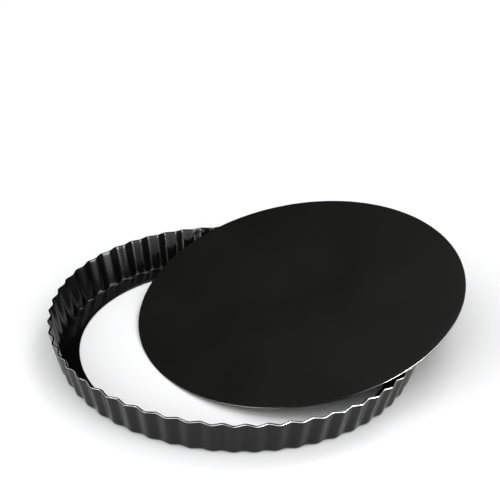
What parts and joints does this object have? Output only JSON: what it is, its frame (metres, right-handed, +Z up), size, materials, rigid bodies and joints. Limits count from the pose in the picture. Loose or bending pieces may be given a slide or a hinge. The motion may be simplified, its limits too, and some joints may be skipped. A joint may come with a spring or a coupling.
{
  "type": "tart pan",
  "caption": "Two-piece loose-bottom tart pan: a fluted ring with a flat inner ledge, and a flat round base plate leaning on its rim.",
  "frame": {"origin": "middle of the whole pan's footprint, on the surface that it stands on", "axes": "+Z up, +X along the longer side of the footprint, +Y to the back; the base plate rises towards +X +Y"},
  "size_m": [0.3124, 0.2968, 0.0595],
  "materials": {
    "ring_coating": "glossy black non-stick coating on pressed steel sheet",
    "base_coating": "matte black non-stick coating on flat steel sheet"
  },
  "bodies": {
    "ring": {"fluted_ring": "ring_coating"},
    "base": {"loose_base": "base_coating"}
  },
  "joints": [
    {"name": "base_lift", "type": "slide", "parent": "ring", "child": "base", "axis": [0, 0, 1], "range_m": [0, 0.06]}
  ]
}
